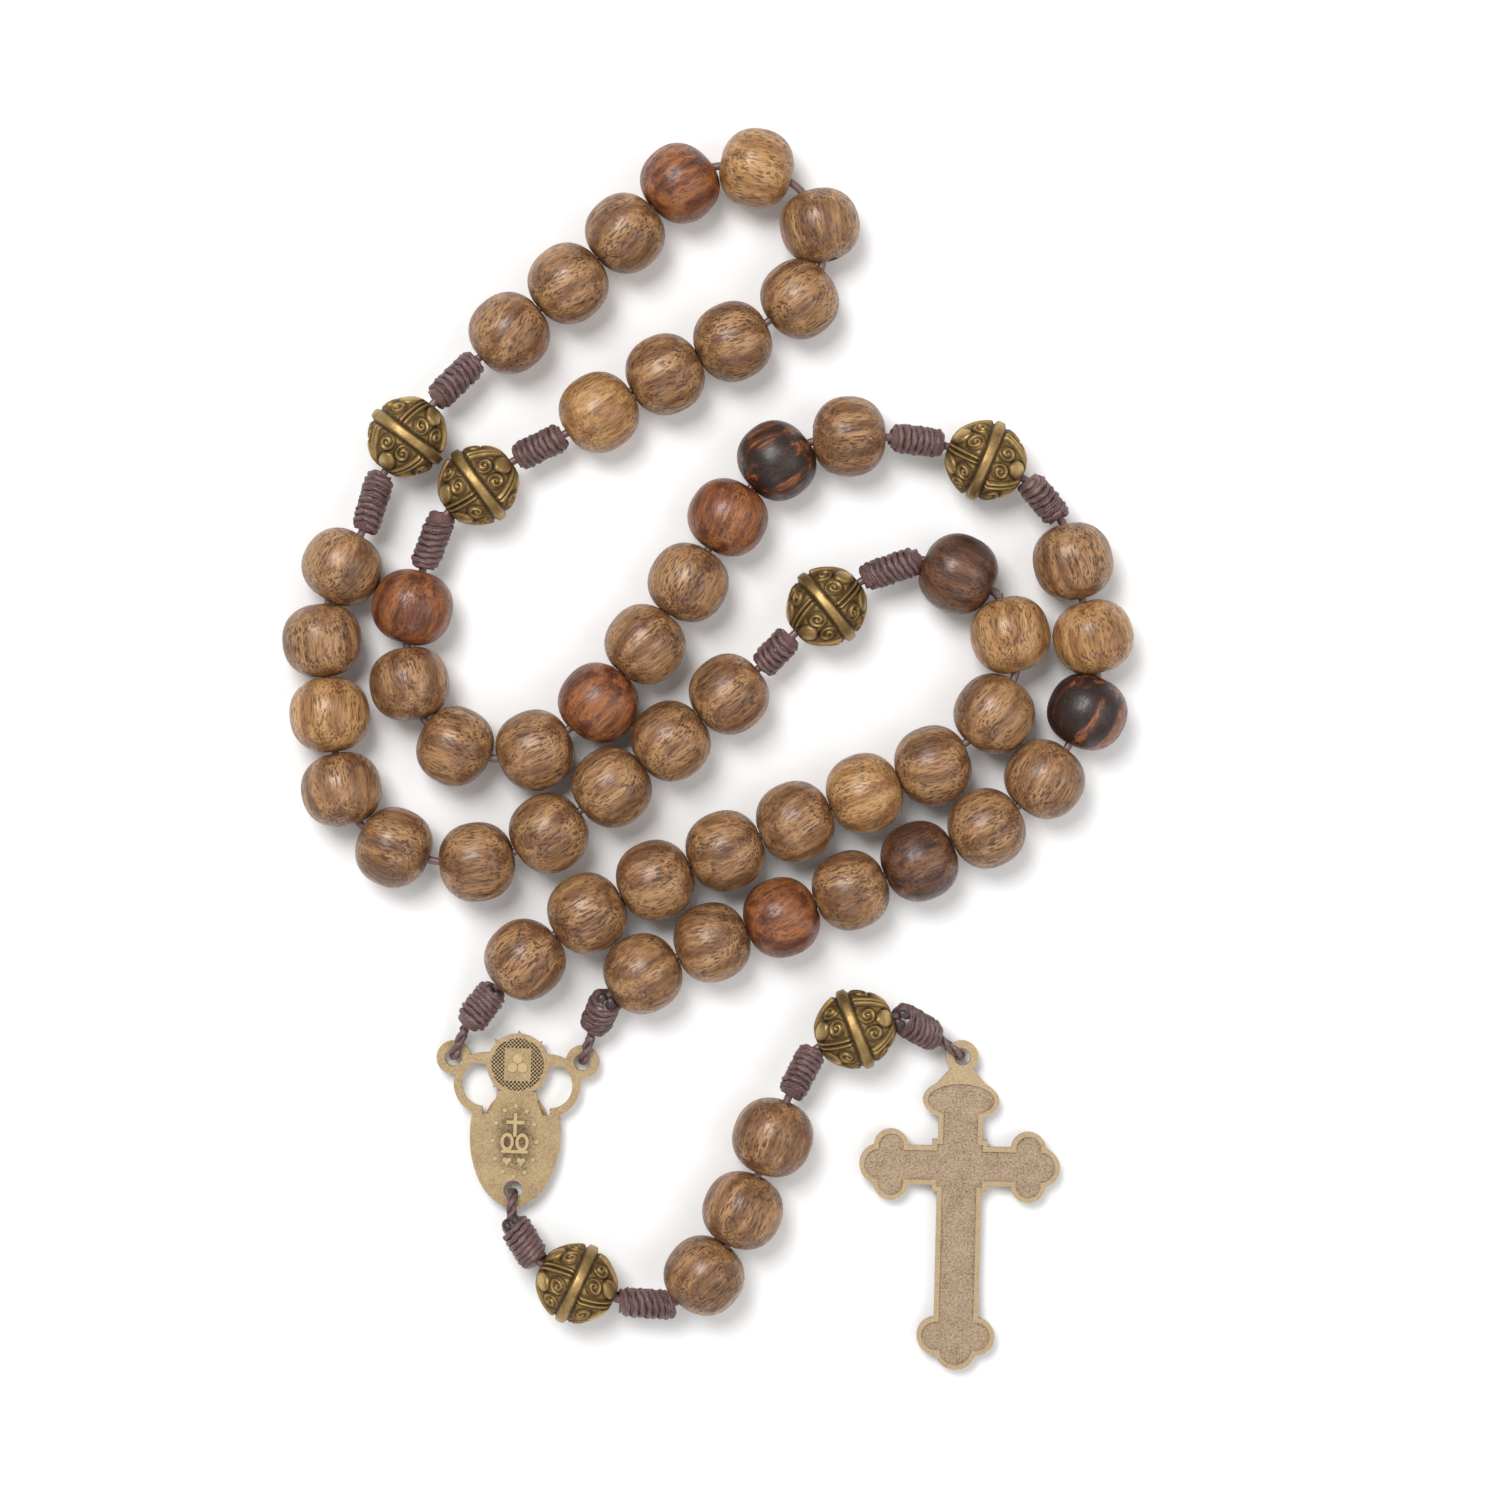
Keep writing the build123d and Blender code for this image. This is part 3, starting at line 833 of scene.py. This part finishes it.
@dataclass
class BarrelKnot:
    """A barrel knot: strand wound round itself, its wraps leaning over."""

    strand: Strand = field(default_factory=lambda: Strand(radius=0.45, plies=2, lay=1.5, swell=0.15))
    pitch: float = 0.87
    lean: float = 27.0
    steps: int = 40

    def build(self, name: str, body: str, start: Vector, end: Vector, diameter: float,
              palette: Palette, draw: random.Random, melted: int = 0) -> bpy.types.Object:
        """Wind one knot between two points.

        Args:
            name: The piece's name.
            body: The body it rides on.
            start: One end's middle, in metres.
            end: The other end's middle, in metres.
            diameter: Over the wraps, in millimetres.
            palette: The materials.
            draw: The source of its unevenness.
            melted: Which end shows the cord's melted ends: -1 the start, 1 the end, 0 neither.

        Returns:
            The piece.
        """
        knot = bmesh.new()
        knot.verts.layers.float_vector.new("strand")
        length = (end - start).length / MM
        reach = diameter / 2 - self.strand.radius
        turns = max(4, round((length - 2 * self.strand.radius) / self.pitch))
        slope = math.tan(math.radians(self.lean))
        phase, tilt = draw.uniform(0, math.tau), draw.uniform(-0.5, 0.5)
        span = length - 2 * self.strand.radius - 0.9 * slope * reach
        wobble = [draw.uniform(-0.07, 0.07) for _ in range(turns + 3)]
        line = []
        for step in range(turns * self.steps + 1):
            share = step / (turns * self.steps)
            angle = math.tau * turns * share + phase
            wrap = share * turns
            uneven = wobble[int(wrap)] * (1 - wrap % 1) + wobble[int(wrap) + 1] * (wrap % 1)
            taper = 1 - 0.16 * max(0.0, abs(2 * share - 1) - 0.78) / 0.22
            radius = (reach + uneven) * taper
            lean = slope * reach * (1 - 0.55 * abs(2 * share - 1) ** 3)
            place = (share - 0.5) * span + lean * math.sin(angle - tilt) + uneven
            line.append(Vector((place, radius * math.cos(angle), radius * math.sin(angle))))
        self.strand.sweep(knot, line, draw.uniform(0, math.tau))
        core = bmesh.ops.create_cone(knot, cap_ends=True, segments=24, radius1=reach * 0.92, radius2=reach * 0.92,
                                     depth=length - 1.0)["verts"]
        bmesh.ops.rotate(knot, verts=core, cent=(0, 0, 0), matrix=Matrix.Rotation(math.pi / 2, 3, "Y"))
        if melted:
            self.add_melted_end(knot, melted * (length / 2 - 0.75), reach, draw)
        bmesh.ops.transform(knot, matrix=along(start, end) @ Matrix.Scale(MM, 4), verts=knot.verts)
        return finished(knot, name, body, [palette.cord, palette.burnt])

    def add_melted_end(self, knot: bmesh.types.BMesh, place: float, reach: float, draw: random.Random) -> None:
        """Set two dark lumps of melted cord against one end of the knot."""
        for side in (-1, 1):
            made = bmesh.ops.create_icosphere(knot, subdivisions=3, radius=0.72)["verts"]
            for vert in made:
                vert.co += vert.co.normalized() * draw.uniform(-0.04, 0.04)
            bmesh.ops.scale(knot, verts=made, vec=(1.25, 0.95, 0.9))
            bmesh.ops.translate(knot, verts=made, vec=(place, side * 0.6, reach * 0.66))
            for face in {f for v in made for f in v.link_faces}:
                face.material_index = 1


@dataclass
class CordLine:
    """A stretch of cord shown as one smooth curve."""

    diameter: float = 1.0

    def build(self, name: str, body: str, route: Sequence[Vector], palette: Palette) -> bpy.types.Object:
        """Make the curve and let it ride on its body."""
        curve = nurbs(name, route)
        curve.resolution_u = 16
        curve.bevel_depth = self.diameter / 2 * MM
        curve.bevel_resolution = 3
        curve.use_fill_caps = True
        curve.materials.append(palette.cord)
        piece = linked(name, curve)
        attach(piece, body)
        return piece

    def length(self, route: Sequence[Vector]) -> float:
        """The length of the smooth line, in metres."""
        line = smooth_route(route)
        return sum((b - a).length for a, b in zip(line, line[1:]))


@dataclass
class EyeLoop:
    """Two strands twisted together, passing through a cast eye and back to the knot."""

    strand: Strand = field(default_factory=lambda: Strand(radius=0.37, lay=1.9, sides=10))
    apart: float = 0.31
    lay: float = 3.4
    cord_radius: float = 0.5

    def route(self, start: Vector, eye: Point, hole: float, first: float) -> list[Vector]:
        """The loop's side view, in millimetres, from the knot's neck round the band and back."""
        target = Vector((eye[0], eye[1], NECK_HEIGHT))
        begin = start / MM
        toward = (target - begin).normalized()
        reach = (target - begin).length - hole + self.cord_radius + 0.3
        heights = [(first, 3.53), (reach * 0.55, 3.5), (reach, 3.1), (reach, 1.75), (reach, 0.72),
                   (reach - 1.3, 0.70), (reach - 2.5, 0.75), (first, 2.4)]
        return [begin + toward * run + Vector((0, 0, height - NECK_HEIGHT)) for run, height in heights]

    def build(self, name: str, body: str, start: Vector, eye: Point, hole: float, first: float,
              palette: Palette) -> bpy.types.Object:
        """Twist the two strands of one loop."""
        loop = bmesh.new()
        loop.verts.layers.float_vector.new("strand")
        line = [p / MM for p in smooth_route([p * MM for p in self.route(start, eye, hole, first)], 14)]
        for phase in (0.0, math.pi):
            self.strand.sweep(loop, self.wound(line, phase), phase)
        bmesh.ops.scale(loop, verts=loop.verts, vec=(MM, MM, MM))
        return finished(loop, name, body, [palette.cord])

    def wound(self, line: Sequence[Vector], phase: float) -> list[Vector]:
        """A helix about a line, at a fixed lay."""
        found = []
        for centre, side, other, travelled in walk(line):
            angle = math.tau * travelled / self.lay + phase
            found.append(centre + (side * math.cos(angle) + other * math.sin(angle)) * self.apart)
        return found


@dataclass
class FoldBridge:
    """A short length of cord, swept through the point where the rosary folds between two bodies."""

    strand: Strand = field(default_factory=Strand)

    def build(self, name: str, bodies: tuple[str, str], before: Vector, fold: Vector, after: Vector,
              palette: Palette) -> bpy.types.Object:
        """Sweep the cord through the fold point.

        Args:
            name: The piece's name.
            bodies: The bodies at its start and at its end; not used.
            before: A point on the cord before the fold, in metres.
            fold: The fold point.
            after: A point on the cord after the fold.
            palette: The materials.

        Returns:
            The piece.
        """
        bridge = bmesh.new()
        bridge.verts.layers.float_vector.new("strand")
        reach = 2.4 * MM
        start = fold + (before - fold).normalized() * reach
        end = fold + (after - fold).normalized() * reach
        line = smooth_route([start, fold + (start - fold) * 0.3, fold + (end - fold) * 0.3, end])
        self.strand.sweep(bridge, [p / MM for p in line])
        bmesh.ops.scale(bridge, verts=bridge.verts, vec=(MM, MM, MM))
        piece = finished(bridge, name, None, [palette.cord])
        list(bodies)
        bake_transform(piece)
        return piece


@dataclass
class Lattice:
    """The cast centrepiece's hatched disc: two sets of crossing bars with pits between them."""

    radius: float = 3.33
    panel: tuple[float, float] = (1.72, 2.1)
    pitch: float = 0.50
    width: float = 0.22
    height: float = 0.21
    centre: Point = (0.0, 9.4)

    def spans(self, offset: float, across: bool) -> list[tuple[float, float]]:
        """Where one bar runs: through the disc but not through the panel in its middle."""
        half = math.sqrt(max(self.radius ** 2 - offset ** 2, 0))
        side, reach = self.panel if across else self.panel[::-1]
        if abs(offset) < side and reach < half:
            return [(-half, -reach), (reach, half)]
        return [(-half, half)]

    def build(self, palette: Palette) -> bpy.types.Object:
        """Lay the bars on the disc's sunken ring."""
        lattice = bmesh.new()
        count = int(self.radius / self.pitch)
        for across in (False, True):
            for step in range(-count, count + 1):
                offset = step * self.pitch
                for low, high in self.spans(offset, across):
                    bar = bmesh.ops.create_cube(lattice, size=1.0)["verts"]
                    size = (high - low, self.width, self.height)
                    bmesh.ops.scale(lattice, verts=bar, vec=size)
                    bmesh.ops.translate(lattice, verts=bar, vec=((low + high) / 2, offset, self.height / 2))
                    if across:
                        bmesh.ops.rotate(lattice, verts=bar, matrix=Matrix.Rotation(math.pi / 2, 3, "Z"))
        floor = bmesh.ops.create_circle(lattice, cap_ends=True, segments=64, radius=self.radius)["verts"]
        bmesh.ops.translate(lattice, verts=floor, vec=(0, 0, 0.015))
        for face in floor[0].link_faces:
            face.material_index = 1
        middle = placed(self.centre, CENTRE_ORIGIN, CENTRE_TURN)
        place = Matrix.Translation((middle[0], middle[1], PLATE_TOP - 0.225)) @ Matrix.Rotation(CENTRE_TURN, 4, "Z")
        bmesh.ops.transform(lattice, matrix=Matrix.Scale(MM, 4) @ place, verts=lattice.verts)
        return finished(lattice, "centrepiece_hatching", "centrepiece",
                        [palette.plate, palette.pit], False)


@dataclass
class Studio:
    """A white table under soft light, seen from straight above."""

    lens: float = 100.0
    distance: float = 0.5325
    aim: tuple[float, float] = (0.00582, 0.00032)

    def build(self) -> None:
        """Add the floor, the lights and the camera."""
        tree = Tree("table_white")
        material = tree.finish(Base_Color=(0.93, 0.93, 0.93), Roughness=0.9)
        floor = bmesh.new()
        bmesh.ops.create_grid(floor, x_segments=1, y_segments=1, size=4.0)
        data = bpy.data.meshes.new("table")
        floor.to_mesh(data)
        floor.free()
        data.materials.append(material)
        table = linked("table", data)
        lamps = [self.lamp("key", (-0.22, 0.34, 0.80), 0.40, 6.2), self.lamp("fill", (0.6, -0.1, 0.7), 0.7, 2.4),
                 self.lamp("back", (0.0, -0.7, 0.6), 0.6, 1.4)]
        world = bpy.data.worlds.new("white_room")
        world.use_nodes = True
        world.node_tree.nodes["Background"].inputs["Color"].default_value = (1.0, 1.0, 1.0, 1.0)
        world.node_tree.nodes["Background"].inputs["Strength"].default_value = 0.42
        bpy.context.scene.world = world
        bpy.context.scene.view_settings.view_transform = "Standard"
        camera = linked("camera", bpy.data.cameras.new("camera"))
        camera.data.lens = self.lens
        camera.data.sensor_width = 36.0
        camera.location = (*self.aim, self.distance)
        bpy.context.scene.camera = camera
        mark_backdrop(table, *lamps, camera)

    def lamp(self, name: str, place: tuple[float, float, float], size: float, power: float) -> bpy.types.Object:
        """A square soft light aimed at the rosary."""
        light = bpy.data.lights.new(name, "AREA")
        light.size = size
        light.energy = power
        lamp = linked(name, light)
        lamp.location = place
        lamp.rotation_euler = (-Vector(place)).to_track_quat("-Z", "Y").to_euler()
        return lamp


@dataclass
class Rosary:
    """The whole chaplet: beads, cords, knots, loops and cast plates."""

    palette: Palette
    draw: random.Random
    bead: WoodenBead = field(default_factory=WoodenBead)
    cast: CastBead = field(default_factory=CastBead)
    cord: CordLine = field(default_factory=CordLine)
    knot: BarrelKnot = field(default_factory=BarrelKnot)
    loop: EyeLoop = field(default_factory=EyeLoop)

    def add_beads(self) -> None:
        """Put a bead, or a pair, on every run."""
        for decade, points in DECADES.items():
            first = 1
            route = wood(points)
            free = rooms(route)
            for start, end, ends in zip(route, route[1:], zip(free, free[1:])):
                count = count_on(start, end)
                label = "_".join(f"{first + step:02d}" for step in range(count))
                tones = [BEAD_TONES.get((decade, first + step), Tone.TAN) for step in range(count)]
                self.bead.build(f"wooden_bead_{decade}_{label}", start, end, tones, ends, self.palette,
                                self.draw)
                first += count
        route = wood(PENDANT_BEADS)
        free = rooms(route)
        for number in range(1, len(route)):
            self.bead.build(f"wooden_bead_pendant_{number}", *route[number - 1:number + 1], [Tone.TAN],
                            free[number - 1:number + 1], self.palette, self.draw)
        for number, run in CAST_RUNS.items():
            self.cast.build(f"metal_bead_{number}", *metal(run), self.palette, self.draw)

    def add_cord(self, node: str, body: str, route: Sequence[Vector], free: bool) -> None:
        ends = [route[0], route[0].lerp(route[1], 0.5), *route[1:-1], route[-2].lerp(route[-1], 0.5), route[-1]]
        piece = self.cord.build(f"line_{node}", body, ends, self.palette)
        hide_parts(node)
        if free:
            length = self.cord.length(ends)
            LOG.info("%s: %.1f mm", node, length / MM)
            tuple(route[0])

    def add_cords(self) -> None:
        """Draw every cord, its fold bridges and its eye loops."""
        d1, d2, d3, d4, d5 = (wood(DECADES[number]) for number in range(1, 6))
        m1, m2, m3, m4, m5, m6 = (metal(CAST_RUNS[number]) for number in range(1, 7))
        drop = wood(PENDANT_BEADS)
        self.add_cord("decade_1_cord", "loop_lower", [neck(NECK_LEFT), *d1[:-1]], True)
        self.add_cord("decade_2_cord", "loop_middle", [*d1[-2:], *m1, *d2, *m2, *d3[:2]], True)
        self.add_cord("decade_3_cord", "loop_upper", d3[1:-1], True)
        self.add_cord("decade_4_cord", "loop_middle", [*d3[-2:], *m3, *d4, *m4, d5[0]], True)
        self.add_cord("decade_5_cord", "loop_lower", [*d5, neck(NECK_RIGHT)], True)
        self.add_cord("pendant_upper_cord", "pendant_upper", [neck(NECK_PENDANT), *m5, *drop[:2]], True)
        self.add_cord("pendant_middle_cord", "pendant_middle", drop[1:], False)
        self.add_cord("pendant_lower_cord", "pendant_lower", [drop[3], *m6, neck(NECK_CROSS)], False)
        for name, bodies, route in (
            ("middle_fold_right", ("loop_lower", "loop_middle"), d1[-3:]),
            ("middle_fold_upper_right", ("loop_middle", "loop_lower"), [m4[1], *d5[:2]]),
            ("upper_fold_left", ("loop_middle", "loop_upper"), d3[:3]),
            ("upper_fold_right", ("loop_upper", "loop_middle"), d3[-3:]),
            ("pendant_lift", ("pendant_upper", "pendant_middle"), drop[:3]),
            ("pendant_bend", ("pendant_middle", "pendant_lower"), [*drop[2:], m6[0]]),
        ):
            FoldBridge().build(f"cord_bridge_{name}", bodies, *route, self.palette)
        for side, start, eye in zip(("left", "right"), (NECK_LEFT, NECK_RIGHT), CENTRE_EYES):
            piece = self.loop.build(f"eye_loop_{side}", "centrepiece", neck(start),
                                    placed(eye, CENTRE_ORIGIN, CENTRE_TURN), 1.1, 0.3, self.palette)
            if side == "left":
                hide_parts("centrepiece_loops")
        self.loop.build("eye_loop_pendant", "pendant_upper", neck(NECK_PENDANT),
                        placed(CENTRE_HOLE, CENTRE_ORIGIN, CENTRE_TURN), 1.2, -0.7, self.palette)
        self.loop.build("eye_loop_crucifix", "pendant_lower", neck(NECK_CROSS),
                        placed(CROSS_EYE, CROSS_ORIGIN, CROSS_TURN), 1.1, -0.7, self.palette)

    def add_knots(self) -> None:
        """Wind the fourteen barrel knots."""
        runs = {f"d{number}": wood(points) for number, points in DECADES.items()}
        runs |= {f"m{number}": metal(run) for number, run in CAST_RUNS.items()}
        runs["p"] = wood(PENDANT_BEADS)
        for number, (body, start, end, before, after, size, melted) in enumerate((
            ("loop_lower", neck(NECK_LEFT), "d1", 0.2, 0.15, 4.3, 1),
            ("loop_middle", "d1", "m1", 0.1, 0.05, 3.9, 0),
            ("loop_middle", "m1", "d2", 0.05, 0.1, 3.9, 0),
            ("loop_middle", "d2", "m2", 0.1, 0.05, 3.9, 0),
            ("loop_middle", "m2", "d3", 0.05, 0.1, 3.9, 0),
            ("loop_middle", "d3", "m3", 0.1, 0.05, 3.9, 0),
            ("loop_middle", "m3", "d4", 0.05, 0.1, 3.9, 0),
            ("loop_middle", "d4", "m4", 0.1, 0.05, 3.9, 0),
            ("loop_middle", "m4", "d5", 0.05, 0.6, 3.9, 0),
            ("loop_lower", "d5", neck(NECK_RIGHT), 0.15, 0.2, 4.3, -1),
            ("pendant_upper", neck(NECK_PENDANT), "m5", 0.0, 0.1, 4.3, -1),
            ("pendant_upper", "m5", "p", 0.1, 0.2, 3.9, 0),
            ("pendant_lower", "p", "m6", 0.5, 0.1, 3.9, 0),
            ("pendant_lower", "m6", neck(NECK_CROSS), 0.1, 0.0, 4.3, -1),
        ), 1):
            first = start if isinstance(start, Vector) else self.face(runs[start][-2:], start, 1)
            last = end if isinstance(end, Vector) else self.face(runs[end][:2], end, -1)
            way = (last - first).normalized() * MM
            self.knot.build(f"knot_{number:02d}", body, first + way * before, last - way * after, size,
                            self.palette, self.draw, melted)

    def face(self, run: Sequence[Vector], kind: str, side: int) -> Vector:
        """Where the bead or pair on a run ends, on the side of a knot."""
        length = (run[1] - run[0]).length / MM
        pitch = length / max(count_on(*run), 1)
        half = self.cast.length / 2 if kind[0] == "m" else (length - pitch) / 2 + min(pitch, 9.7) / 2 - 0.06
        return (run[0] + run[1]) / 2 + (run[1] - run[0]).normalized() * side * half * MM

    def dress_plates(self) -> None:
        """Give the two cast plates their finish and the disc its hatching."""
        for node, material in (("centrepiece", self.palette.plate), ("crucifix", self.palette.cross)):
            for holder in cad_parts[node].material_slots:
                holder.material = material
        Lattice().build(self.palette)


def main() -> None:
    """Build the rosary and its studio."""
    logging.basicConfig(level=logging.INFO, format="%(name)s %(message)s")
    rosary = Rosary(Palette.mix(), random.Random(SEED))
    rosary.add_beads()
    rosary.add_cords()
    rosary.add_knots()
    rosary.dress_plates()
    Studio().build()
    boxes = {"cad": CAD_BOX, "scene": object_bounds()}
    {key: [[round(float(x), 6) for x in corner] for corner in box] for key, box in boxes.items()}


if __name__ == "__main__":
    main()
